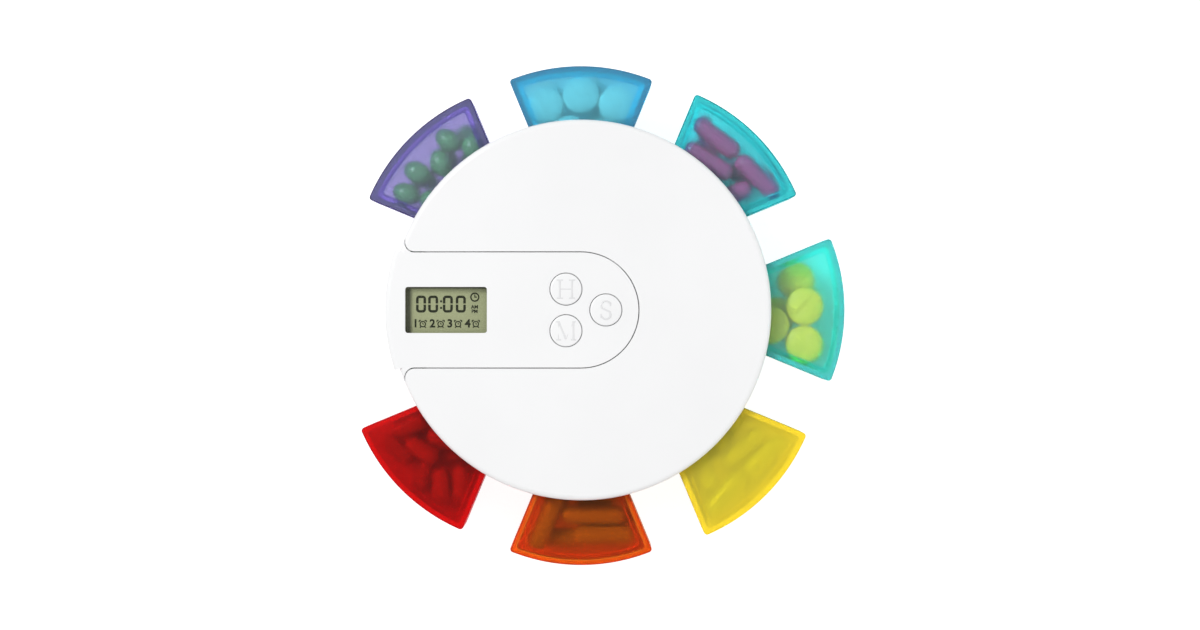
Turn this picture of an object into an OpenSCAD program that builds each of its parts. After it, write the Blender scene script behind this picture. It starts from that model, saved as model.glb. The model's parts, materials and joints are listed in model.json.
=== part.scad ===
// Round table-top pill dispenser with a four-alarm timer and seven pull-out wedge boxes.
// The origin is on the axis of the round body, on the plane it stands on.
// +X points away from the timer's nose and +Z is up.

/* [Body] */
// Diameter of the round body
body_d = 110; // [108:0.5:116]
// Height of the cover's rim above the resting plane
body_h = 28; // [26:0.5:36]
// Rise of the cover from its rim to its middle
crown_rise = 0.8; // [0.4:0.1:1.6]
// Thickness of the cover's plate at its rim
cover_t = 2; // [1.6:0.1:2.6]
// Radius of the cover's rounded rim
rim_r = 1.5; // [0.8:0.1:1.9]
// Depth of the edge bead and ribs under the cover's plate
rib_depth = 1; // [0.6:0.1:1.6]
// Thickness of the ribs under the cover
rib_t = 1.2; // [0.8:0.1:2]
// Width of the edge bead under the cover
bead_w = 1.8; // [1.2:0.1:2.4]
// Thickness of the base floor
floor_t = 2.2; // [2:0.1:3]
// Radius of the rounded edge under the base
foot_r = 1; // [0.4:0.1:1.6]
// Thickness of the upright housing walls
shell_wall = 1.5; // [1.2:0.1:1.8]
// Outer radius of the hub that the boxes close round
hub_r = 18.7; // [18.4:0.1:19.4]

/* [Timer panel] */
// Width of the U-shaped panel across its straight sides
panel_w = 33.5; // [32:0.25:34]
// Radius of the cover's corners where the panel flares to the rim
flare_r = 2.8; // [2:0.1:3.4]
// Width of the seam round the panel
seam = 0.3; // [0.2:0.05:0.4]
// Thickness of the panel at the rim
panel_t = 1.2; // [1:0.1:1.4]
// How far the nose stands proud of the rim
nose_proud = 1.6; // [1:0.1:3]
// Angle that the nose takes up on the rim
nose_angle = 36; // [28:1:40]
// Depth of the nose below the panel's underside
nose_depth = 5; // [3:0.5:12]
// Distance of the display window's inner end from the body's axis
window_start = 27.1; // [27:0.1:30]
// Distance of its outer end from the body's rim
window_edge = 4.3; // [4.2:0.1:8]
// Width of the display window
window_w = 13.3; // [10:0.1:14]
// Corner radius of the display window
window_r = 0.8; // [0.4:0.1:2]
// Thickness of the clear lens under the window
lens_t = 1.2; // [0.8:0.1:1.3]
// Thickness of the display glass
glass_t = 2; // [1.4:0.1:2.2]
// Thickness of the circuit board
board_t = 1.2; // [0.8:0.1:1.6]
// Height of the contact strips between display and board
zebra_h = 2.4; // [2:0.1:3]

/* [Buttons] */
// Diameter of each button
button_d = 9.1; // [8:0.1:9.6]
// How far a button stands above the panel
button_rise = 0.8; // [0.6:0.1:1.6]
// Travel of a button
button_travel = 0.5; // [0.3:0.05:0.6]
// Gap round a button in its hole
button_gap = 0.2; // [0.15:0.05:0.3]
// Distance of the hour and minute buttons from the axis towards the nose
pair_x = 4.3; // [4:0.1:4.8]
// Distance between the hour and minute buttons
pair_pitch = 12; // [11.8:0.1:12.6]
// Distance of the set button from the axis
set_x = 7.2; // [6.8:0.1:7.4]

/* [Boxes] */
// Gap between neighbouring boxes when they are closed
box_gap = 0.4; // [0.3:0.05:0.8]
// Gap between a box and the floor, hub or cover
box_clear = 0.4; // [0.3:0.05:0.6]
// Wall thickness of a box
box_wall = 1.5; // [1.2:0.1:2]
// Floor thickness of a box
box_floor = 1.4; // [1.2:0.1:2]
// Radius of a box's outer corners
box_corner = 1; // [0.4:0.1:3]
// Thickness of a lid
lid_t = 1.2; // [1:0.1:2]
// Depth of the lip that plugs into the box
lip_depth = 1.8; // [1:0.1:4]
// Thickness of that lip
lip_t = 1.25; // [0.8:0.05:2]
// Play between the lip and the box wall
lip_play = 0.15; // [0.1:0.05:0.3]
// Width of the key on the base that lines up a closing box
key_w = 5; // [4:0.5:8]
// Height of the key
key_h = 1.4; // [1:0.1:2]
// Length of the key in front of the hub
key_l = 12; // [8:0.5:14]

/* [Pull-out at rest] */
// Purple box
purple_pull = 15.5; // [0:0.1:30]
// Blue box
blue_pull = 15.8; // [0:0.1:30]
// Cyan box
cyan_pull = 17; // [0:0.1:30]
// Teal box
teal_pull = 21.5; // [0:0.1:30]
// Yellow box
yellow_pull = 21; // [0:0.1:30]
// Orange box
orange_pull = 19.1; // [0:0.1:30]
// Red box
red_pull = 18.8; // [0:0.1:30]

/* [Battery] */
// Diameter of the coin cell
cell_d = 20; // [19.5:0.1:20.2]
// Thickness of the coin cell
cell_t = 3.2; // [2.5:0.1:3.4]
// Place of the coin cell, as a share of the body's radius
cell_share = 0.72; // [0.715:0.001:0.725]
// Wall of the cradle round the coin cell
cradle_wall = 1.2; // [1:0.1:1.4]
// Gap round the battery door
door_gap = 0.3; // [0.2:0.05:0.35]
// Reach of the door's lugs past its edge
lug_reach = 1.6; // [1.2:0.1:1.7]
// Width of the coin slot in the door
slot_w = 1.8; // [1.4:0.1:2.4]
// Length of the coin slot in the door
slot_l = 14; // [10:0.5:18]

/* [Hidden] */
$fn = 96;
eps = 0.01;
// Keeps a round corner from grazing the lines it meets
overcut = 0.001;
places = 8;
place_angle = 360 / places;
half_place = place_angle / 2;
body_r = body_d / 2;

// Heights, from the resting plane
cover_under = body_h - cover_t;
rib_under = cover_under - rib_depth;
panel_under = body_h - panel_t;
lid_top = rib_under - box_clear - 0.1;
box_top = lid_top - lid_t;
box_under = floor_t + box_clear;
lens_under = panel_under - lens_t;
glass_top = lens_under - 0.2;
glass_under = glass_top - glass_t;
board_top = glass_under - zebra_h;
board_under = board_top - board_t;

// The crown follows one large sphere, in short straight steps
crown_steps = 8;
crown_reach = body_r - rim_r;
crown_r = (crown_reach * crown_reach + crown_rise * crown_rise) / (2 * crown_rise);
crown_c = body_h + crown_rise - crown_r;
function crown_z(r) = crown_c + sqrt(crown_r * crown_r - r * r);

// The bay under the timer fills one place, behind the nose
bay_line = box_gap / 2;
bay_inner = bay_line + shell_wall;
bay_front_r = body_r - shell_wall - 0.2;
bay_hole_r = bay_front_r - 1.1;
nose_r = body_r + nose_proud;
neck_w = 8.8;
panel_half = panel_w / 2;
flare_x = body_r * cos(half_place);

// Boxes
box_in_r = hub_r + box_clear + 0.1;
box_out_r = body_r - 0.2;
groove_w = key_w + 2 * box_clear;
groove_r = hub_r + key_l + 1;
hump_w = groove_w + 2 * box_floor;

// Screws that hold the cover to the base, inside the hub
case_boss_d = 4.6;
case_boss_r = hub_r - shell_wall - case_boss_d / 2 - 0.2;
case_post_d = 6;
case_post_h = 8.4;
case_seat = 3;
case_head_d = 3.9;
case_head_h = 1.5;
case_shank_d = 2.1;
case_shank_l = 9;
case_angles = [40, 90, -40, -90];

// Board posts on the panel, as places in the plan
board_r = case_boss_r - case_boss_d / 2 - 0.7;
hub_post = board_r * [0.29, 0.75];
bay_post = [11 - body_r, 12];
board_posts = [hub_post, [hub_post[0], -hub_post[1]], bay_post, [bay_post[0], -bay_post[1]]];
board_post_d = 3;
board_screw_d = 1.6;
board_shank_l = 4;
board_head_d = 3.2;
board_head_h = 1.1;

// Buttons, as places in the plan
hour_at = [-pair_x, pair_pitch / 2];
minute_at = [-pair_x, -pair_pitch / 2];
set_at = [set_x, 0];
flange_d = button_d + 1.5;
flange_t = 1;
flange_top = panel_under - 0.05;
switch_w = 6;
switch_h = 3;
stem_under = flange_top - flange_t - 0.7;
stem_d = 3.6;
plunger_d = 3.2;
plunger_l = 2;
plunger_under = stem_under - plunger_l;
plunger_room = 0.3;
tongue_angles = [20, 68, -20, -68];
tongue_r = norm(hour_at) + flange_d / 2 + 0.5;

// Display
window_l = body_r - window_edge - window_start;
window_x = window_start + window_l / 2;
glass_x0 = window_x + window_l / 2 + 0.5;
glass_x1 = window_x - window_l / 2 - 1.5;
glass_w = window_w + 1.5;

// Battery
cell_x = cell_share * body_r;
cell_under = floor_t + 1.6;
cell_top = cell_under + cell_t;
leaf_t = 0.3;
leaf_w = 2.5;
cradle_r = cell_d / 2 + 0.2 + cradle_wall;
cradle_under = cell_under + 0.1;
ear_d = 4.4;
ear_under = 5.8;
ear_t = 1.4;
ear_reach = cradle_r + 4;
ear_angles = [0, 125, -125];
ear_screw_d = 1.5;
ear_shank_l = 4;
ear_head_d = 3.6;
ear_head_h = 1.1;
door_r = cell_d / 2 + 0.9;
door_under = 0.3;
door_ring = 1.6;
door_ring_top = cell_under - 0.2;
lug_r = door_r + lug_reach;
lug_under = floor_t + 0.3;
lug_t = 1;
lug_half = 13;
notch_half = 17;
door_turn = 45;
lugs = [0, 120, 240];

// Colours, as the photograph shows them
white = [0.955, 0.96, 0.965];
offwhite = [0.9, 0.91, 0.92];
clear = [0.85, 0.9, 0.9, 0.35];
lcd_green = [0.6, 0.62, 0.5];
black = [0.08, 0.08, 0.09];
board_green = [0.05, 0.35, 0.2];
steel = [0.72, 0.73, 0.75];
brass = [0.8, 0.65, 0.3];
purple = [0.5, 0.35, 0.78, 0.75];
blue = [0.1, 0.6, 0.86, 0.75];
cyan = [0.2, 0.78, 0.86, 0.75];
teal = [0.1, 0.72, 0.66, 0.75];
yellow = [0.94, 0.84, 0.12, 0.75];
orange = [0.9, 0.3, 0.06, 0.75];
red = [0.8, 0.02, 0.1, 0.75];

// Flat ring between two radii
module ring_2d(r_in, r_out) {
  difference() {
    circle(r_out);
    circle(r_in);
  }
}

// Slice of a ring, centred on +X
module slice_2d(r_in, r_out, half_angle) {
  reach = r_out * 1.3;
  intersection() {
    ring_2d(r_in, r_out);
    polygon([[0, 0], reach * [cos(half_angle), sin(half_angle)], reach * [cos(half_angle), -sin(half_angle)]]);
  }
}

// Rectangle with round corners, centred
module round_rect_2d(l, w, r) {
  square([l, w - 2 * r], center = true);
  square([l - 2 * r, w], center = true);
  for (x = [-1, 1], y = [-1, 1])
    translate([x * (l / 2 - r), y * (w / 2 - r)])
      circle(r);
}

// What a round corner leaves off, where a side line meets an arc.
// side is 1 or -1, out is 1 at the outer arc and -1 at the inner one.
module corner_waste_2d(inset, arc_r, f, side, out) {
  u = [cos(half_place), side * sin(half_place)];
  n = [sin(half_place), -side * cos(half_place)];
  centre_r = arc_r - out * f;
  s = sqrt(centre_r * centre_r - (inset + f) * (inset + f));
  c = s * u + (inset + f) * n;
  on_line = s * u + inset * n;
  on_arc = c * arc_r / centre_r;
  tip = sqrt(arc_r * arc_r - inset * inset) * u + inset * n;
  difference() {
    polygon([c, on_line, tip + (out * u - n) * f, on_arc]);
    translate(c)
      circle(f + overcut);
  }
}

// Plan of a place's wedge, centred on +X, with its straight sides set in from the place's lines
module wedge_2d(inset, r_in, r_out, f_out, f_in) {
  apex = inset / sin(half_place);
  reach = r_out * 1.3;
  difference() {
    intersection() {
      ring_2d(r_in, r_out);
      polygon([[apex, 0], [reach, (reach - apex) * tan(half_place)], [reach, (apex - reach) * tan(half_place)]]);
    }
    for (side = [-1, 1]) {
      corner_waste_2d(inset, r_out, f_out, side, 1);
      corner_waste_2d(inset, r_in, f_in, side, -1);
    }
  }
}

// Section of the crowned top out to an edge radius, from the axis, with the rounded rim
module crown_section_2d(edge_r, low) {
  flat_r = edge_r - rim_r;
  edge_z = crown_z(flat_r);
  difference() {
    polygon(concat(
      [[0, low]],
      [for (i = [0 : crown_steps]) [flat_r * i / crown_steps, crown_z(flat_r * i / crown_steps)]],
      [[edge_r, edge_z], [edge_r, low]]
    ));
    difference() {
      polygon([
        [flat_r, edge_z - rim_r], [flat_r, edge_z],
        [edge_r + rim_r, edge_z + rim_r], [edge_r, edge_z - rim_r]
      ]);
      translate([flat_r, edge_z - rim_r])
        circle(rim_r);
    }
  }
}

// Solid of the crowned top above a height
module crowned(edge_r, low) {
  rotate_extrude()
    crown_section_2d(edge_r, low);
}

// U-shaped plan of the timer panel, flaring to the rim behind the nose
module panel_2d(grow) {
  half = panel_half + grow;
  left = flare_x - grow;
  f = flare_r - grow;
  circle(half);
  translate([-left, -half])
    square([left, 2 * half]);
  difference() {
    circle(body_r);
    translate([-left, -body_r])
      square([2 * body_r, 2 * body_r]);
  }
  for (side = [-1, 1])
    difference() {
      translate([-left, side * (half + f / 2)])
        square([2 * f, f], center = true);
      translate([-left + f, side * (half + f)])
        circle(f);
      translate([-left - 2 * f, side * (half + f / 2) - f])
        square([2 * f, 2 * f]);
    }
}

// Plan of the hollow under the panel: the hub and the bay behind the nose
module hollow_2d(hub_hole_r, line, front_r) {
  circle(hub_hole_r);
  rotate(180)
    wedge_2d(line, hub_r / 2, front_r, 1, 0.2);
  translate([-hub_r - 1, -neck_w / 2])
    square([hub_r / 2, neck_w]);
}

// The base: floor, hub ring, bay walls, keys, screw posts and the battery door's hole
module base_shell() {
  color(white)
    difference() {
      union() {
        base_body();
        at_case_screws()
          cylinder(h = case_post_h, d = case_post_d);
        at_ears()
          cylinder(h = ear_under, d = ear_d);
      }
      translate([0, 0, -eps])
        at_case_screws() {
          cylinder(h = case_post_h - case_seat + eps, d = case_head_d + 0.4);
          cylinder(h = case_post_h + 1, d = case_shank_d + 0.4);
        }
      translate([0, 0, floor_t + 1])
        at_ears()
          cylinder(h = ear_under, d = ear_screw_d + 0.1);
      translate([-cell_x, 0, -eps])
        linear_extrude(floor_t + 1)
          door_hole_2d();
    }
}

// Floor with a rounded lower edge, and on it the hub and bay, hollowed down to the floor
module base_body() {
  difference() {
    union() {
      rotate_extrude() {
        square([body_r - foot_r, floor_t]);
        translate([0, foot_r])
          square([body_r, floor_t - foot_r]);
        translate([body_r - foot_r, foot_r])
          circle(foot_r);
      }
      linear_extrude(rib_under) {
        circle(hub_r);
        rotate(180)
          wedge_2d(bay_line, hub_r / 2, body_r - 0.2, 1, 0.2);
      }
      for (i = [-3 : 3])
        rotate(i * place_angle)
          guide_key();
    }
    translate([0, 0, floor_t])
      linear_extrude(body_h)
        hollow_2d(hub_r - shell_wall, bay_inner, bay_front_r);
  }
}

// Key that lines up a box over the last part of its way in
module guide_key() {
  linear_extrude(floor_t + key_h) {
    translate([hub_r - shell_wall / 2, -key_w / 2])
      square([key_l + shell_wall / 2 - key_w / 2, key_w]);
    translate([hub_r + key_l - key_w / 2, 0])
      circle(d = key_w);
  }
}

module door_hole_2d() {
  circle(door_r + door_gap);
  for (a = lugs)
    rotate(a + door_turn)
      slice_2d(door_r - 2, lug_r + door_gap, notch_half);
}

module at_case_screws() {
  for (a = case_angles)
    rotate(a)
      translate([case_boss_r, 0, 0])
        children();
}

module at_ears() {
  for (a = ear_angles)
    translate([-cell_x, 0, 0])
      rotate(a)
        translate([ear_reach, 0, 0])
          children();
}

// The cover: crowned disc with a rounded rim, ribs under it and a pocket for the timer panel
module cover_shell() {
  color(white)
    difference() {
      union() {
        crowned(body_r, cover_under);
        translate([0, 0, rib_under]) {
          linear_extrude(rib_depth + eps)
            ring_2d(body_r - bead_w, body_r);
          linear_extrude(rib_depth + eps)
            cover_ribs_2d();
          linear_extrude(panel_under - rib_under)
            intersection() {
              circle(body_r);
              union() {
                panel_2d(shell_wall);
                circle(hub_r + box_clear);
              }
            }
        }
        translate([0, 0, case_post_h])
          at_case_screws()
            cylinder(h = rib_under - case_post_h + 0.5, d = case_boss_d);
      }
      translate([0, 0, panel_under])
        linear_extrude(body_h)
          panel_2d(seam / 2);
      translate([0, 0, rib_under - 1])
        linear_extrude(cover_t + 1)
          difference() {
            hollow_2d(tongue_r, bay_inner, bay_hole_r);
            at_case_screws()
              circle(d = case_boss_d);
          }
      at_case_screws()
        cylinder(h = case_post_h + case_shank_l - case_seat + 1, d = case_shank_d + 0.1);
    }
}

module cover_ribs_2d() {
  for (i = [0 : places - 3])
    rotate((i - 2.5) * place_angle)
      translate([hub_r, -rib_t / 2])
        square([body_r - bead_w - hub_r + 0.5, rib_t]);
}

// The U-shaped timer panel with its nose, display window and button holes
module timer_panel() {
  color(white)
    difference() {
      union() {
        intersection() {
          crowned(body_r, panel_under);
          translate([0, 0, panel_under])
            linear_extrude(body_h)
              panel_2d(-seam / 2);
        }
        panel_nose();
        translate([0, 0, board_top])
          for (p = board_posts)
            translate(p)
              cylinder(h = panel_under - board_top + 0.5, d = board_post_d);
        for (a = tongue_angles)
          rotate(a)
            snap_tongue(tongue_r, 6);
        for (side = [-1, 1])
          rotate(180 + side * 14)
            snap_tongue(bay_hole_r, 2.5);
      }
      translate([-window_x, 0, panel_under - 1])
        linear_extrude(body_h)
          round_rect_2d(window_l, window_w, window_r);
      for (p = [hour_at, minute_at, set_at])
        translate([p[0], p[1], panel_under - 1])
          cylinder(h = body_h, d = button_d + 2 * button_gap);
      for (p = board_posts)
        translate([p[0], p[1], board_top - eps])
          cylinder(h = board_shank_l, d = board_screw_d + 0.1);
    }
}

module panel_nose() {
  rotate(180)
    intersection() {
      crowned(nose_r, panel_under - nose_depth);
      union() {
        translate([0, 0, panel_under])
          linear_extrude(body_h)
            slice_2d(body_r - 4, nose_r, nose_angle / 2);
        linear_extrude(body_h)
          slice_2d(body_r + 0.1, nose_r, nose_angle / 2);
      }
    }
}

// Snap tongue whose hook catches under the edge of a hole of radius r
module snap_tongue(r, half_angle) {
  hook_h = 1;
  hook_top = rib_under - 0.1;
  translate([0, 0, hook_top - hook_h])
    linear_extrude(panel_under - hook_top + hook_h + 0.5)
      slice_2d(r - 1.1, r - 0.2, half_angle);
  translate([0, 0, hook_top - hook_h])
    linear_extrude(hook_h)
      slice_2d(r - 1.1, r + 0.6, half_angle);
}

module lcd_lens() {
  color(clear)
    translate([-window_x, 0, lens_under])
      linear_extrude(lens_t)
        round_rect_2d(window_l + 1.4, window_w + 1.4, window_r + 0.4);
}

module lcd_glass() {
  color(lcd_green)
    translate([-glass_x0, -glass_w / 2, glass_under])
      cube([glass_x0 - glass_x1, glass_w, glass_t]);
}

// Frame that holds the display glass on the board
module lcd_holder() {
  play = 0.1;
  wall = 0.7;
  color(black)
    translate([0, 0, board_top])
      linear_extrude(rib_under - 0.1 - board_top)
        difference() {
          translate([-glass_x0 - play - wall, -glass_w / 2 - play - wall])
            square([glass_x0 - glass_x1 + 2 * (play + wall), glass_w + 2 * (play + wall)]);
          translate([-glass_x0 - play, -glass_w / 2 - play])
            square([glass_x0 - glass_x1 + 2 * play, glass_w + 2 * play]);
        }
}

// Two rubber strips that join the glass to the board
module zebra_strips() {
  strip_w = 1.6;
  color(black)
    for (side = [-1, 1])
      translate([-glass_x0 + 1, side * (glass_w / 2 - strip_w / 2 - 0.2) - strip_w / 2, board_top])
        cube([glass_x0 - glass_x1 - 2, strip_w, zebra_h]);
}

module circuit_board() {
  color(board_green)
    translate([0, 0, board_under])
      linear_extrude(board_t)
        difference() {
          hollow_2d(board_r, bay_inner + 0.5, bay_hole_r + 0.4);
          for (p = board_posts)
            translate(p)
              circle(d = board_screw_d + 0.5);
        }
}

module controller_chip() {
  chip_w = 9;
  chip_t = 1.6;
  color(black)
    translate([-window_x + 4 - chip_w / 2, -chip_w / 2, board_under - chip_t])
      cube([chip_w, chip_w, chip_t]);
}

module buzzer() {
  can_d = 10;
  can_h = 4.5;
  color(black)
    translate([-2, 0, board_under - can_h])
      difference() {
        cylinder(h = can_h, d = can_d);
        translate([0, 0, -eps])
          cylinder(h = 0.8, d = 2);
      }
}

// Three push switches under the buttons
module tact_switches() {
  color(black)
    for (p = [hour_at, minute_at, set_at])
      translate([p[0], p[1], 0])
        difference() {
          translate([-switch_w / 2, -switch_w / 2, board_top])
            cube([switch_w, switch_w, switch_h]);
          translate([0, 0, plunger_under - button_travel - plunger_room])
            cylinder(h = switch_h, d = plunger_d + 0.4);
        }
}

module plunger(p) {
  color(offwhite)
    translate([p[0], p[1], plunger_under])
      cylinder(h = plunger_l, d = plunger_d);
}

// Round button: domed cap, flange under the panel and a stem to its switch
module button(p) {
  edge = 0.5;
  r = button_d / 2;
  top = crown_z(norm(p)) + button_rise;
  dome_rise = 0.25;
  dome_reach = r - edge;
  dome_r = (dome_reach * dome_reach + dome_rise * dome_rise) / (2 * dome_rise);
  color(white)
    translate([p[0], p[1], 0])
      rotate_extrude() {
        translate([0, flange_top - eps])
          square([r, top - dome_rise - edge - flange_top + eps]);
        translate([0, top - dome_rise - edge - eps])
          square([dome_reach, edge + eps]);
        translate([dome_reach, top - dome_rise - edge])
          circle(edge, $fn = 48);
        intersection() {
          translate([0, top - dome_r])
            circle(dome_r, $fn = 600);
          translate([0, top - dome_rise - edge])
            square([dome_reach, 2 * edge + dome_rise]);
        }
        translate([0, flange_top - flange_t])
          square([flange_d / 2, flange_t]);
        translate([0, stem_under])
          square([stem_d / 2, flange_top - stem_under]);
      }
}

// Ring with a ceiling that holds the coin cell, on three ears
module battery_cradle() {
  ceiling_under = cell_top + leaf_t;
  color(offwhite)
    difference() {
      union() {
        translate([-cell_x, 0, cradle_under])
          cylinder(h = ceiling_under + 1 - cradle_under, r = cradle_r);
        translate([-cell_x, 0, ear_under])
          linear_extrude(ear_t)
            for (a = ear_angles)
              rotate(a) {
                translate([cradle_r - 1, -ear_d / 2])
                  square([ear_reach - cradle_r + 1, ear_d]);
                translate([ear_reach, 0])
                  circle(d = ear_d);
              }
      }
      translate([-cell_x, 0, cradle_under - eps])
        cylinder(h = ceiling_under - cradle_under + eps, r = cradle_r - cradle_wall);
      translate([-cell_x, 0, 0]) {
        rotate(50)
          translate([0, -leaf_w / 2 - 0.2, ceiling_under - leaf_t - 0.4])
            cube([cradle_r + 1, leaf_w + 0.4, leaf_t + 0.4]);
        rotate(180)
          translate([cell_d / 2 - 0.5, -leaf_w / 2 - 0.2, 0])
            cube([cradle_wall + 2, leaf_w + 0.4, body_h]);
      }
      at_ears()
        cylinder(h = body_h, d = ear_screw_d + 0.5);
    }
}

// Coin cell: can with a rounded bottom edge and a smaller cap on top
module coin_cell() {
  cap_h = 0.3;
  edge = 0.5;
  r = cell_d / 2;
  color(steel)
    translate([-cell_x, 0, cell_under])
      rotate_extrude() {
        translate([0, edge])
          square([r, cell_t - cap_h - edge]);
        square([r - edge, cell_t - cap_h]);
        translate([r - edge, edge])
          circle(edge, $fn = 48);
        square([r - 1.4, cell_t]);
      }
}

// Leaf on the cell's cap that turns up to the board
module top_contact() {
  color(brass)
    translate([-cell_x, 0, 0])
      rotate(50) {
        translate([-1.5, -leaf_w / 2, cell_top])
          cube([cradle_r + 1.8, leaf_w, leaf_t]);
        translate([cradle_r + 0.3, -leaf_w / 2, cell_top])
          cube([leaf_t, leaf_w, board_under - cell_top]);
      }
}

// Upright strip against the cell's rim
module side_contact() {
  color(brass)
    translate([-cell_x - cell_d / 2 - leaf_t, -leaf_w / 2, cell_under + 0.8])
      cube([leaf_t, leaf_w, board_under - cell_under - 0.8]);
}

// Round door under the cell, turned by a coin, with three lugs over the base floor
module battery_door() {
  color(white)
    translate([-cell_x, 0, 0])
      difference() {
        union() {
          translate([0, 0, door_under])
            cylinder(h = floor_t - 0.2 - door_under, r = door_r);
          translate([0, 0, door_under])
            linear_extrude(door_ring_top - door_under)
              ring_2d(door_r - door_ring, door_r);
          translate([0, 0, lug_under])
            linear_extrude(lug_t)
              for (a = lugs)
                rotate(a)
                  slice_2d(door_r - 1, lug_r, lug_half);
        }
        translate([-slot_l / 2, -slot_w / 2, 0])
          cube([slot_l, slot_w, door_under + 1]);
      }
}

// Screws up through the base into the cover's bosses
module case_screws() {
  seat = case_post_h - case_seat;
  color(steel)
    at_case_screws() {
      translate([0, 0, seat - case_head_h])
        cross_head(case_head_d, case_head_h, -1);
      translate([0, 0, seat - eps])
        cylinder(h = case_shank_l, d = case_shank_d);
    }
}

module board_screws() {
  color(steel)
    for (p = board_posts)
      translate([p[0], p[1], board_under - board_head_h]) {
        cross_head(board_head_d, board_head_h, -1);
        translate([0, 0, board_head_h - eps])
          cylinder(h = board_shank_l, d = board_screw_d);
      }
}

module cradle_screws() {
  color(steel)
    translate([0, 0, ear_under + ear_t])
      at_ears() {
        cross_head(ear_head_d, ear_head_h, 1);
        translate([0, 0, eps - ear_shank_l])
          cylinder(h = ear_shank_l, d = ear_screw_d);
      }
}

// Screw head with a cross recess; face is 1 for a recess on top and -1 for one below
module cross_head(d, h, face) {
  depth = h / 2;
  difference() {
    cylinder(h = h, d = d);
    translate([0, 0, face > 0 ? h - depth : -eps])
      linear_extrude(depth + eps) {
        square([d * 0.6, d * 0.16], center = true);
        square([d * 0.16, d * 0.6], center = true);
      }
  }
}

// Open wedge box, with a groove under its floor for the key
module tray(place, pull) {
  rotate(place * place_angle)
    translate([pull, 0, box_under])
      difference() {
        linear_extrude(box_top - box_under)
          wedge_2d(box_gap / 2, box_in_r, box_out_r, box_corner, box_corner / 2);
        translate([0, 0, box_floor])
          linear_extrude(body_h)
            wedge_2d(box_gap / 2 + box_wall, box_in_r + box_wall, box_out_r - box_wall, box_corner, box_corner / 2);
      }
}

// The same box with its groove and the hump over it
module keyed_tray(place, pull) {
  difference() {
    union() {
      tray(place, pull);
      rotate(place * place_angle)
        translate([pull, 0, box_under])
          linear_extrude(key_h + box_floor)
            difference() {
              groove_2d(hump_w, groove_r + box_floor);
              circle(box_in_r + eps);
            }
    }
    rotate(place * place_angle)
      translate([pull, 0, box_under - eps])
        linear_extrude(key_h + eps)
          groove_2d(groove_w, groove_r);
  }
}

// Plan of the groove under a box, from inside the hub to its round end
module groove_2d(w, end_r) {
  translate([hub_r - 2, -w / 2])
    square([end_r - w / 2 - hub_r + 2, w]);
  translate([end_r - w / 2, 0])
    circle(d = w);
}

// Lid whose lip plugs into the box
module lid(place, pull) {
  lip_out = box_wall + lip_play;
  lip_in = lip_out + lip_t;
  inset = box_gap / 2;
  rotate(place * place_angle)
    translate([pull, 0, 0]) {
      translate([0, 0, box_top])
        linear_extrude(lid_t)
          wedge_2d(inset, box_in_r, box_out_r, box_corner, box_corner / 2);
      translate([0, 0, box_top - lip_depth])
        linear_extrude(lip_depth + eps)
          difference() {
            wedge_2d(inset + lip_out, box_in_r + lip_out, box_out_r - lip_out, box_corner, box_corner / 2);
            wedge_2d(inset + lip_in, box_in_r + lip_in, box_out_r - lip_in, box_corner, box_corner / 2);
          }
    }
}

module hour_button() { button(hour_at); }
module minute_button() { button(minute_at); }
module set_button() { button(set_at); }
module hour_plunger() { plunger(hour_at); }
module minute_plunger() { plunger(minute_at); }
module set_plunger() { plunger(set_at); }

module purple_tray() { color(purple) keyed_tray(3, purple_pull); }
module purple_lid() { color(purple) lid(3, purple_pull); }
module blue_tray() { color(blue) keyed_tray(2, blue_pull); }
module blue_lid() { color(blue) lid(2, blue_pull); }
module cyan_tray() { color(cyan) keyed_tray(1, cyan_pull); }
module cyan_lid() { color(cyan) lid(1, cyan_pull); }
module teal_tray() { color(teal) keyed_tray(0, teal_pull); }
module teal_lid() { color(teal) lid(0, teal_pull); }
module yellow_tray() { color(yellow) keyed_tray(-1, yellow_pull); }
module yellow_lid() { color(yellow) lid(-1, yellow_pull); }
module orange_tray() { color(orange) keyed_tray(-2, orange_pull); }
module orange_lid() { color(orange) lid(-2, orange_pull); }
module red_tray() { color(red) keyed_tray(-3, red_pull); }
module red_lid() { color(red) lid(-3, red_pull); }

base_shell();
cover_shell();
timer_panel();
lcd_lens();
lcd_glass();
lcd_holder();
zebra_strips();
circuit_board();
controller_chip();
buzzer();
tact_switches();
hour_button();
minute_button();
set_button();
hour_plunger();
minute_plunger();
set_plunger();
battery_cradle();
coin_cell();
top_contact();
side_contact();
battery_door();
case_screws();
board_screws();
cradle_screws();
purple_tray();
purple_lid();
blue_tray();
blue_lid();
cyan_tray();
cyan_lid();
teal_tray();
teal_lid();
yellow_tray();
yellow_lid();
orange_tray();
orange_lid();
red_tray();
red_lid();
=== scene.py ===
"""Looks of a round pill dispenser: white case, timer, and seven tinted boxes with pills."""

import json
import logging
import math
import random
from dataclasses import dataclass, field, replace
from enum import Enum
from typing import Iterable, Sequence

import bmesh
import bpy
from mathutils import Matrix, Vector

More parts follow.
